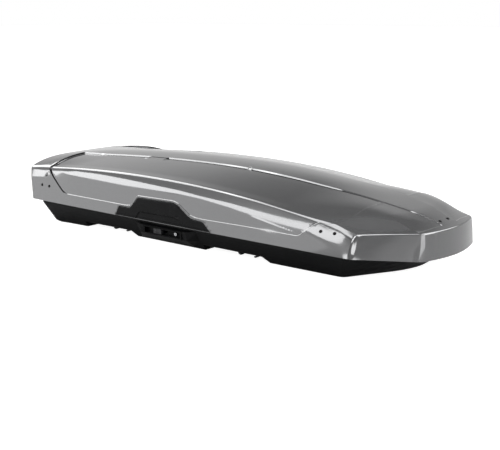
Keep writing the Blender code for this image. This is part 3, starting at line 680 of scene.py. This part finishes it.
# ------------------------ black side trims
SCOOP_OUTLINE = ((-0.3030, 0.1178), (-0.2800, 0.1540), (-0.0520, 0.1560), (-0.0120, 0.1480), (0.0300, 0.1178))
SCOOP_DEEP = 0.0045
TRIM_PROUD = 0.0018
TRIM_ROUND = 0.0045
TRIM_SUNK = POCKET_DEEP * 0.6
TRIM_FOOT = ((-0.4385, 0.1176), (0.179, 0.1176))
TRIM_STEP = 0.007
FOLD_DEEP = 0.0012
TRIM_EDGE = Border(unfold_side(trim_outline(-0.0010)[::-1]), 0.005, 0.001)
SCOOP = Border(unfold_side(rounded(SCOOP_OUTLINE, (0.012, 0.030, 0.030), 0.004)[::-1]), 0.0055, 0.0016)
FOLD_LINE = ((-0.440, 0.1268), (-0.155, 0.1290), (0.176, 0.1262))
FOLD = Border(unfold_side(rounded(FOLD_LINE, (0.02,))[::-1]), 0.004, 0.001)


def trim_height(p, near, close):
    """Height of the trim's face: rounded at its border, sunk in the finger scoop, folded along its foot."""
    d = np.clip(TRIM_EDGE.signed(p, close[0])[0] / TRIM_ROUND, 0, 1)
    rise = np.sqrt(np.clip(1 - (1 - d) ** 2, 0, 1))
    foot = smooth(0, 0.004, FOLD.signed(p, close[2])[0]) * FOLD_DEEP
    scoop = SCOOP_DEEP * SCOOP.drop(p, close[1])
    return -TRIM_SUNK + (TRIM_SUNK + TRIM_PROUD) * rise - scoop - foot


def make_trims(finish):
    """Left and right trim, each one closed moulding that follows the side wall in its pocket."""
    points, edges = [], []
    ring = TRIM_EDGE.path
    foot = unfold_side(resample(np.array(TRIM_FOOT), PATH_STEP))
    foot = foot[(foot[:, 0] > ring[-1, 0] + 0.003) & (foot[:, 0] < ring[0, 0] - 0.003)]
    boundary = add_line(points, edges, np.concatenate([ring, foot]), True)
    for gap in np.arange(0.0012, 0.0062, 0.0011):
        inner = ring + TRIM_EDGE.right * gap
        d = TRIM_EDGE.signed(inner, TRIM_EDGE.near(inner))[0]
        points.extend(Vector(q) for q in inner[(np.abs(d - gap) < 2e-4)][2:-2])
    for border in (SCOOP, FOLD):
        for gap in np.linspace(0, border.width[0], 5):
            inner = border.path + border.right * gap
            far = TRIM_EDGE.signed(inner, TRIM_EDGE.near(inner))[0] > 0.0065
            points.extend(Vector(q) for q in inner[far])
    low, high = ring.min(axis=0), ring.max(axis=0)
    grid = np.array([(x, y) for x in np.arange(low[0], high[0], TRIM_STEP)
                     for y in np.arange(low[1], high[1] + 0.05, TRIM_STEP)])
    points.extend(Vector(q) for q in grid[TRIM_EDGE.signed(grid, TRIM_EDGE.near(grid))[0] > 0.008])
    spots, _, faces, *_ = delaunay_2d_cdt(points, edges, [boundary], 1, MERGE)
    plan = np.array([tuple(v) for v in spots])
    place, normal = skin_points(plan, (TRIM_EDGE, SCOOP, FOLD), trim_height)
    near = nearest(plan)
    under = base_point(plan, near) - base_normal(plan, near)[0] * (POCKET_DEEP - 0.0002)
    thin = ((place - under) * normal).sum(1) < 0.0004
    under = np.where(thin[:, None], place - normal * 0.0006, under)
    faces = turned_out(place, normal, [tuple(f) for f in faces])
    left = closed_sheet("left_trim_moulding", place, normal, under, faces, finish)
    faces = [tuple(reversed(f)) for f in faces]
    right = closed_sheet("right_trim_moulding", place * RIGHT, normal * RIGHT, under * RIGHT, faces, finish)
    return left, right


# ------------------------ painted shade strips, screw caps and button
# thin dark strips that paint the shade of the sunk panel's rear groove and of the ridge's step wall onto the
# lid
SHADE_STRIP_SPAN = (0.0004, 0.0062)
SHADE_STRIP_PROUD = 0.0003
SHADE_STRIP_THICK = 0.0012
SHADE_STRIP_COLUMNS = 5
SHADE_STRIP_END_X = -0.835
RIDGE_SHADE_X = (-1.030, 0.840)
RIDGE_SHADE_START = 0.0085
RIDGE_SHADE_WIDTH = ((-1.03, 0.010), (0.20, 0.010), (0.84, 0.004))


def lay_strip(name, path, right, low, high, flip, finish):
    """A thin closed strip on the lid, between two distances to the right of a path on the unfolded lid."""
    shares = np.linspace(0, 1, SHADE_STRIP_COLUMNS)
    plan = np.concatenate([path + right * (low + (high - low) * share)[:, None] for share in shares])
    place, normal = skin_points(plan, BORDERS, shift_of)
    faces = turned_out(place, normal, grid_faces(SHADE_STRIP_COLUMNS, len(path)))
    if flip == RIGHT:
        faces = [tuple(reversed(f)) for f in faces]
    outer = place + normal * SHADE_STRIP_PROUD
    inner = place - normal * SHADE_STRIP_THICK
    return closed_sheet(name, outer * flip, normal * flip, inner * flip, faces, finish)


def make_painted_shade_strips(finish):
    """Dark strips of painted shade: round the rear end of each sunk panel, and along the foot of the ridge
    beside it.
    """
    at = np.arange(len(PANEL.path))
    run = at[(PANEL.path[:, 0] < SHADE_STRIP_END_X) & (PANEL.path[:, 1] > 0.002) & (at < len(at) * 0.45)]
    run = run[first_index(PANEL.path[run, 1] > float(spine_half(-1.04)) + 0.001):]
    low, high = (np.full(len(run), d) for d in SHADE_STRIP_SPAN)
    around = (PANEL.path[run], PANEL.right[run], low, high)
    x = SPINE.path[:, 0]
    run = (x > RIDGE_SHADE_X[0]) & (x < RIDGE_SHADE_X[1])
    width = np.interp(x[run], *np.transpose(RIDGE_SHADE_WIDTH))
    foot = np.full(len(width), RIDGE_SHADE_START)
    along = (SPINE.path[run], SPINE.right[run], foot, foot + width)
    made = []
    for side, flip in SIDES:
        made.append(lay_strip(f"{side}_panel_painted_shade", *around, flip, finish))
        made.append(lay_strip(f"{side}_ridge_painted_shade", *along, flip, finish))
    return made


CAP_PROFILE = ((0.0, 0.0006), (0.0022, 0.0006), (0.0026, 0.0008), (0.0030, 0.0022), (0.0048, 0.0023),
               (0.0064, 0.0018), (0.0075, 0.0010), (0.0079, 0.0), (0.0079, -0.0040), (0.0, -0.0040))
BUTTON_PROFILE = ((0.0, 0.0030), (0.0060, 0.0030), (0.0080, 0.0034), (0.0095, 0.0046), (0.0112, 0.0046),
                  (0.0126, 0.0032), (0.0133, 0.0), (0.0133, -0.0060), (0.0, -0.0060))
CAP_HEXAGON = 0.0031
# the caps' places on the side wall (x, z) and on the nose (x, y), and the button beside the ridge
SIDE_CAPS = ((-1.025, 0.194), (-0.966, 0.193), (0.751, 0.195), (0.815, 0.194))
NOSE_CAP = (1.089, 0.034)
BUTTON_X = 0.130
BUTTON_GAP = 0.008
BUTTON_STRETCH = 1.2


def turned_piece(name, profile, spot, normal, finish, hexagon=0, count=30, stretch=1.0):
    """A small turned cap on the lid; its first rings can be a hexagon for the key."""
    up = Vector(normal).normalized()
    along = (Vector((1, 0, 0)) - up * up.x).normalized()
    across = up.cross(along)
    places, faces = [], []
    rings = profile[1:-1]
    for r, h in rings:
        for i in range(count):
            angle = 2 * math.pi * i / count
            reach = r
            if r <= hexagon:
                reach = r / math.cos((angle + math.pi / 6) % (math.pi / 3) - math.pi / 6)
            out = along * math.cos(angle) * stretch + across * math.sin(angle)
            places.append(Vector(spot) + up * h + out * reach)
    for k in range(len(rings) - 1):
        for i in range(count):
            j = (i + 1) % count
            faces.append((k * count + j, k * count + i, (k + 1) * count + i, (k + 1) * count + j))
    last = (len(rings) - 1) * count
    places += [Vector(spot) + up * profile[0][1], Vector(spot) + up * profile[-1][1]]
    for i in range(count):
        j = (i + 1) % count
        faces.append((len(places) - 2, i, j))
        faces.append((len(places) - 1, last + j, last + i))
    piece = mesh_object(name, places, faces, finish)
    edge = piece.modifiers.new("edges", "EDGE_SPLIT")
    edge.split_angle = math.radians(50)
    return piece


def make_caps(black, silver):
    """Five screw caps on each side of the lid, and one button beside the ridge on the right."""
    button = (BUTTON_X, float(spine_half(BUTTON_X)) + BUTTON_GAP)
    spots = np.concatenate([unfold_side(SIDE_CAPS), [NOSE_CAP, button]])
    place, normal = skin_points(spots, BORDERS, shift_of)
    made = []
    for side, flip in SIDES:
        for i, (at, up) in enumerate(zip(place[:-1] * flip, normal[:-1] * flip)):
            made.append(turned_piece(f"{side}_screw_cap_{i + 1}", CAP_PROFILE, at, up, black, CAP_HEXAGON))
    at, up = place[-1] * RIGHT, normal[-1] * RIGHT
    made.append(turned_piece("ridge_button", BUTTON_PROFILE, at, up, silver, stretch=BUTTON_STRETCH))
    return made


# ------------------------ materials
def finish(name, color, rough, metallic=0.0, coat=0.0, coat_rough=0.03, specular=0.5):
    made = bpy.data.materials.new(name)
    made.use_nodes = True
    shader = made.node_tree.nodes["Principled BSDF"]
    shader.inputs["Base Color"].default_value = (*color, 1)
    shader.inputs["Roughness"].default_value = rough
    shader.inputs["Metallic"].default_value = metallic
    shader.inputs["Coat Weight"].default_value = coat
    shader.inputs["Coat Roughness"].default_value = coat_rough
    shader.inputs["Specular IOR Level"].default_value = specular
    return made


def node(tree, kind, inputs=None, **settings):
    made = tree.nodes.new("ShaderNode" + kind)
    for key, value in settings.items():
        setattr(made, key, value)
    for key, value in (inputs or {}).items():
        if isinstance(value, bpy.types.NodeSocket):
            tree.links.new(value, made.inputs[key])
        else:
            made.inputs[key].default_value = value
    return made


def ramp(tree, source, stops):
    made = node(tree, "ValToRGB", {"Fac": source})
    points = made.color_ramp.elements
    while len(points) < len(stops):
        points.new(1.0)
    for point, (at, value) in zip(reversed(points), reversed(stops)):
        point.position = at
        point.color = (*value, 1) if isinstance(value, tuple) else (value, value, value, 1)
    return made.outputs["Color"]


def place_node(tree):
    return node(tree, "TexCoord").outputs["Object"]


def silver_gloss():
    """Silver gloss sheet: fine metal flake under a clear coat with a trace of orange peel."""
    made = finish("silver_gloss", (0.165, 0.165, 0.168), 0.075, 0.60, coat=1.0, coat_rough=0.015)
    tree = made.node_tree
    shader = tree.nodes["Principled BSDF"]
    at = place_node(tree)
    flake = node(tree, "TexVoronoi", {"Vector": at, "Scale": 1400.0})
    cloud = node(tree, "TexNoise", {"Vector": at, "Scale": 7.0, "Detail": 3.0})
    fleck = ramp(tree, flake.outputs["Color"], [(0.0, (0.150, 0.151, 0.154)), (1.0, (0.180, 0.181, 0.185))])
    tone = ramp(tree, cloud.outputs["Fac"], [(0.3, 0.97), (0.7, 1.0)])
    mixed = node(tree, "Mix", data_type="RGBA", blend_type="MULTIPLY")
    mixed.inputs["Factor"].default_value = 1.0
    tree.links.new(fleck, mixed.inputs["A"])
    tree.links.new(tone, mixed.inputs["B"])
    tree.links.new(mixed.outputs["Result"], shader.inputs["Base Color"])
    peel = node(tree, "TexNoise", {"Vector": at, "Scale": 130.0, "Detail": 1.0})
    bump = node(tree, "Bump", {"Height": peel.outputs["Fac"], "Strength": 0.03, "Distance": 0.0004})
    tree.links.new(bump.outputs["Normal"], shader.inputs["Normal"])
    return made


WORN = 1.5


def moulded(name, color, rough, grain, depth, specular):
    """Moulded plastic: fine leather grain, uneven gloss and paler worn patches."""
    made = finish(name, color, rough, specular=specular)
    tree = made.node_tree
    shader = tree.nodes["Principled BSDF"]
    at = place_node(tree)
    cells = node(tree, "TexVoronoi", {"Vector": at, "Scale": grain}, feature="SMOOTH_F1")
    fine = node(tree, "TexNoise", {"Vector": at, "Scale": grain * 2.3, "Detail": 2.0})
    height = node(tree, "Math", {0: cells.outputs["Distance"], 1: fine.outputs["Fac"]}, operation="ADD")
    bump = node(tree, "Bump", {"Height": height.outputs["Value"], "Strength": 0.6, "Distance": depth})
    tree.links.new(bump.outputs["Normal"], shader.inputs["Normal"])
    cloud = node(tree, "TexNoise", {"Vector": at, "Scale": 14.0, "Detail": 5.0})
    pale = tuple(c * WORN for c in color)
    tone = ramp(tree, cloud.outputs["Fac"], [(0.35, color), (0.75, pale)])
    tree.links.new(tone, shader.inputs["Base Color"])
    gloss = ramp(tree, cloud.outputs["Fac"], [(0.3, rough * 0.9), (0.7, min(1.0, rough * 1.15))])
    tree.links.new(gloss, shader.inputs["Roughness"])
    return made


DRAWN = (30.0, 400.0, 400.0)


def metal(name, color, rough, strength=0.25):
    """Plated or painted metal with a drawn grain along X and uneven gloss."""
    made = finish(name, color, rough, 1.0)
    tree = made.node_tree
    shader = tree.nodes["Principled BSDF"]
    at = place_node(tree)
    drawn = node(tree, "Mapping", {"Vector": at, "Scale": DRAWN})
    lines = node(tree, "TexNoise", {"Vector": drawn.outputs["Vector"], "Scale": 1.0, "Detail": 4.0})
    gloss = ramp(tree, lines.outputs["Fac"], [(0.3, rough * 0.75), (0.7, min(1.0, rough * 1.35))])
    tree.links.new(gloss, shader.inputs["Roughness"])
    dark = tuple(c * 0.8 for c in color)
    tone = ramp(tree, lines.outputs["Fac"], [(0.25, dark), (0.65, color)])
    tree.links.new(tone, shader.inputs["Base Color"])
    bump = node(tree, "Bump", {"Height": lines.outputs["Fac"], "Strength": strength, "Distance": 0.0002})
    tree.links.new(bump.outputs["Normal"], shader.inputs["Normal"])
    return made


FINISHES = {
    "silver_gloss": silver_gloss(),
    "black_plastic": moulded("black_plastic", (0.0050, 0.0051, 0.0056), 0.38, 620.0, 0.00008, 0.14),
    "black_trim": moulded("black_trim", (0.0045, 0.0046, 0.0050), 0.26, 900.0, 0.00004, 0.09),
    "grey_plastic": moulded("grey_plastic", (0.030, 0.030, 0.032), 0.36, 800.0, 0.00008, 0.4),
    "plated_steel": metal("plated_steel", (0.52, 0.53, 0.55), 0.32),
    "dark_metal": metal("dark_metal", (0.10, 0.10, 0.105), 0.42),
    "chrome": metal("chrome", (0.75, 0.76, 0.78), 0.10, strength=0.05),
}


def dress_cad():
    """Every CAD node gets the finish of its own material slot."""
    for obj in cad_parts.values():
        for place in obj.material_slots:
            kind = place.material.name.split(".")[0]
            place.material = FINISHES[kind]


# ------------------------ stage, light and camera
FLOOR_HALF = 60.0
# the floor's own glow as the scene gets it, and as the camera gets it
FLOOR_GLOW = (0.05, 0.95)


def make_stage():
    """A paper floor; a glow that only the camera sees keeps it nearly white."""
    mesh = bpy.data.meshes.new("floor")
    corners = [(x * FLOOR_HALF, y * FLOOR_HALF, 0) for x, y in ((-1, -1), (1, -1), (1, 1), (-1, 1))]
    mesh.from_pydata(corners, [], [(0, 1, 2, 3)])
    floor = bpy.data.objects.new("floor", mesh)
    bpy.context.scene.collection.objects.link(floor)
    made = finish("floor_paper", (0.42, 0.42, 0.42), 0.9, specular=0.1)
    tree = made.node_tree
    shader = tree.nodes["Principled BSDF"]
    seen = node(tree, "LightPath").outputs["Is Camera Ray"]
    glow = node(tree, "MapRange", {"Value": seen, "To Min": FLOOR_GLOW[0], "To Max": FLOOR_GLOW[1]})
    shader.inputs["Emission Color"].default_value = (1, 1, 1, 1)
    tree.links.new(glow.outputs["Result"], shader.inputs["Emission Strength"])
    mesh.materials.append(made)


# the dome's brightness by rise above the horizon, in degrees
DOME = ((-90, 0.8), (0, 0.72), (5, 0.56), (10, 0.50), (15, 0.50), (21, 0.45), (27, 0.36), (33, 0.22),
        (40, 0.11), (55, 0.13), (90, 0.42))
# the white wall beside the box: its glow, and by heading its top edge and the brightness over that edge
WALL_GLOW = 1.28
WALL_HEADINGS = (-170, -112)
WALL_TABLE = (-160, -110)
WALL_TOP = 65.0
WALL_EDGE = ((-150, 19), (-145, 15.5), (-140, 13), (-134, 13), (-130, 17), (-127, 24), (-125, 32), (-122, 34),
             (-118, 28))
OVER_WALL = ((-137, 0.45), (-130, 0.60), (-126, 0.85), (-120, 1.0))
# soft cards of light, each between two headings and two rises
Card = namedtuple("Card", "headings rises soft power")
CARDS = (
    Card((-75.0, 15.0), (-5.0, 60.0), 8.0, 0.26),
    Card((13.0, 38.0), (8.0, 31.0), 2.0, 3.8),
    Card((-9.0, 13.0), (21.0, 45.0), 2.0, 3.8),
    Card((144.0, 190.0), (25.0, 58.0), 1.5, 3.6),
    Card((188.0, 204.0), (34.0, 58.0), 1.5, 3.6),
    Card((160.0, 204.0), (56.0, 74.0), 1.5, 3.6),
    Card((-80.0, 20.0), (70.0, 84.0), 2.0, 6.0),
    Card((30.0, 80.0), (24.0, 56.0), 2.0, 4.0),
)
# the long light strip is cut so that it shows on the side wall between these heights: (x, top, bottom)
BAND = ((-1.118, 0.266, 0.228), (-1.020, 0.268, 0.236), (-0.990, 0.272, 0.254), (-0.960, 0.276, 0.269),
        (-0.870, 0.281, 0.266), (-0.780, 0.290, 0.2665), (-0.600, 0.2935, 0.264), (-0.400, 0.290, 0.2605),
        (-0.250, 0.285, 0.2615), (-0.050, 0.2775, 0.262), (0.100, 0.266, 0.2555), (0.260, 0.2565, 0.2385),
        (0.450, 0.238, 0.213), (0.600, 0.226, 0.198), (0.690, 0.221, 0.191), (0.715, 0.222, 0.184),
        (0.740, 0.220, 0.177), (0.800, 0.207, 0.165), (0.845, 0.197, 0.161), (0.860, 0.191, 0.162),
        (0.868, 0.184, 0.168))
BAND_MARGIN = 0.0130
STRIP_COLUMNS = 160
STRIP_REACH = 1.3
STRIP_GLOW = 4.3


def make_strip(eye):
    """The light strip beside the box, placed where the side wall mirrors it to the eye."""
    stations = np.array(BAND)
    x = np.linspace(stations[0, 0], stations[-1, 0], STRIP_COLUMNS)
    high = np.interp(x, stations[:, 0], stations[:, 1])
    low = np.interp(x, stations[:, 0], stations[:, 2])
    high = np.minimum(high, shoulder_z(x) - BAND_MARGIN)
    places = []
    for part in np.linspace(0, 1, 5):
        p = unfold_side(np.column_stack([x, high + (low - high) * part]))
        near = nearest(p)
        spot = base_point(p, near) * RIGHT
        normal = base_normal(p, near)[0] * RIGHT
        view = spot - eye
        view /= np.linalg.norm(view, axis=1)[:, None]
        mirrored = view - 2 * (view * normal).sum(1)[:, None] * normal
        places.append(spot + mirrored * STRIP_REACH)
    faces = grid_faces(len(places), len(x))
    glow = bpy.data.materials.new("light_strip")
    glow.use_nodes = True
    glow.node_tree.nodes.clear()
    lamp = node(glow.node_tree, "Emission", {"Strength": STRIP_GLOW})
    node(glow.node_tree, "OutputMaterial", {"Surface": lamp.outputs["Emission"]})
    strip = mesh_object("light_strip", np.concatenate(places), faces, glow)
    strip.visible_camera = False
    strip.visible_shadow = False


def make_world():
    """The studio's light: a dome, a white wall beside the box, and soft cards; white to the camera itself."""
    world = bpy.data.worlds.new("studio")
    bpy.context.scene.world = world
    world.use_nodes = True
    tree = world.node_tree
    tree.nodes.clear()
    at = node(tree, "TexCoord").outputs["Generated"]
    unit = node(tree, "VectorMath", {0: at}, operation="NORMALIZE").outputs["Vector"]
    parts = node(tree, "SeparateXYZ", {"Vector": unit})

    def math_node(operation, a, b=None):
        inputs = {0: a} if b is None else {0: a, 1: b}
        return node(tree, "Math", inputs, operation=operation).outputs["Value"]

    rise = math_node("MULTIPLY", math_node("ARCSINE", parts.outputs["Z"]), 180 / math.pi)
    angle = math_node("ARCTAN2", parts.outputs["Y"], parts.outputs["X"])
    heading = math_node("MULTIPLY", angle, 180 / math.pi)

    def table(value, low, high, top, stops):
        """A number that depends on value through a table of (value, number); the numbers stay below top."""
        share = node(tree, "MapRange", {"Value": value, "From Min": low, "From Max": high}).outputs["Result"]
        curve = ramp(tree, share, [((v - low) / (high - low), n / top) for v, n in stops])
        return math_node("MULTIPLY", node(tree, "SeparateColor", {"Color": curve}).outputs[0], top)

    def step(value, edge, soft):
        """0 below the edge and 1 above it, with a soft change between."""
        over = math_node("SUBTRACT", value, edge)
        return node(tree, "MapRange", {"Value": over, "From Min": -soft, "From Max": soft},
                    interpolation_type="SMOOTHSTEP").outputs["Result"]

    def inverse(value):
        return math_node("SUBTRACT", 1.0, value)

    def window(value, low, high, soft):
        """1 between low and high, 0 outside them."""
        return math_node("MULTIPLY", step(value, low, soft), inverse(step(value, high, soft)))

    def blend(share, a, b):
        return node(tree, "Mix", {0: share, 2: a, 3: b}, data_type="FLOAT").outputs[0]

    total = table(rise, -90, 90, 1.0, DOME)
    edge = table(heading, *WALL_TABLE, 90.0, WALL_EDGE)
    over = table(heading, *WALL_TABLE, 2.0, OVER_WALL)
    side = blend(step(rise, edge, 2.0), WALL_GLOW, over)
    in_side = math_node("MULTIPLY", window(heading, *WALL_HEADINGS, 4.0), inverse(step(rise, WALL_TOP, 2.0)))
    total = blend(in_side, total, side)
    # headings that run on past 180 degrees, for the cards behind the box
    past = math_node("ADD", heading, math_node("MULTIPLY", math_node("LESS_THAN", heading, -100.0), 360.0))
    for card in CARDS:
        turn = past if card.headings[1] > 100 else heading
        share = math_node("MULTIPLY", window(turn, *card.headings, card.soft),
                          window(rise, *card.rises, card.soft))
        total = math_node("ADD", total, math_node("MULTIPLY", share, card.power))
    camera_ray = node(tree, "LightPath").outputs["Is Camera Ray"]
    back = node(tree, "Background", {"Color": (1, 1, 1, 1), "Strength": blend(camera_ray, total, 1.0)})
    node(tree, "OutputWorld", {"Surface": back.outputs["Background"]})
    world.cycles.sampling_method = "MANUAL"
    world.cycles.sample_map_resolution = 1024


NOSE_LIGHT_SIZE = (0.51, 0.34)
NOSE_LIGHT_PLACE = (2.0, -0.155, 0.18)
NOSE_LIGHT_GLOW = 1.8


def make_nose_light():
    """A low upright soft box off the nose; it draws the bright line down the nose's corner."""
    data = bpy.data.lights.new("nose_box", "AREA")
    data.shape = "RECTANGLE"
    data.size, data.size_y = NOSE_LIGHT_SIZE
    data.energy = NOSE_LIGHT_GLOW * math.pi * data.size * data.size_y
    light = bpy.data.objects.new("nose_box", data)
    bpy.context.scene.collection.objects.link(light)
    light.location = NOSE_LIGHT_PLACE
    light.rotation_euler = Vector((1, 0, 0)).to_track_quat("Z", "Y").to_euler()
    light.visible_camera = False


# the photo's camera: degrees round from the right side to the nose, and degrees up
AZIMUTH = 39.233
ELEVATION = 12.716
DISTANCE = 4.689
LENS = 67.67
TARGET = (0.025, 0.0, 0.048)


def make_camera():
    """The camera of the photo; returns where its eye is."""
    data = bpy.data.cameras.new("camera")
    data.sensor_width = 36.0
    data.lens = LENS
    camera = bpy.data.objects.new("camera", data)
    bpy.context.scene.collection.objects.link(camera)
    a, e = math.radians(AZIMUTH), math.radians(ELEVATION)
    back = Vector((math.sin(a) * math.cos(e), -math.cos(a) * math.cos(e), math.sin(e)))
    camera.location = Vector(TARGET) + back * DISTANCE
    camera.rotation_euler = back.to_track_quat("Z", "Y").to_euler()
    bpy.context.scene.camera = camera
    bpy.context.scene.view_settings.view_transform = "Standard"
    return np.array(camera.location)


eye = make_camera()
make_stage()
make_world()
make_nose_light()
make_strip(eye)
dress_cad()
lid = make_lid(FINISHES["silver_gloss"])
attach(lid, "lid")
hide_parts("lid_shell")
for trim, node_name in zip(make_trims(FINISHES["black_trim"]), ("left_side_trim", "right_side_trim")):
    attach(trim, "lid")
    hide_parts(node_name)
# dark strips of painted shade along each sunk panel's rear groove and along the ridge's foot
for seam in make_painted_shade_strips(FINISHES["black_trim"]):
    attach(seam, "lid")
for cap in make_caps(FINISHES["black_trim"], FINISHES["silver_gloss"]):
    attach(cap, "lid")
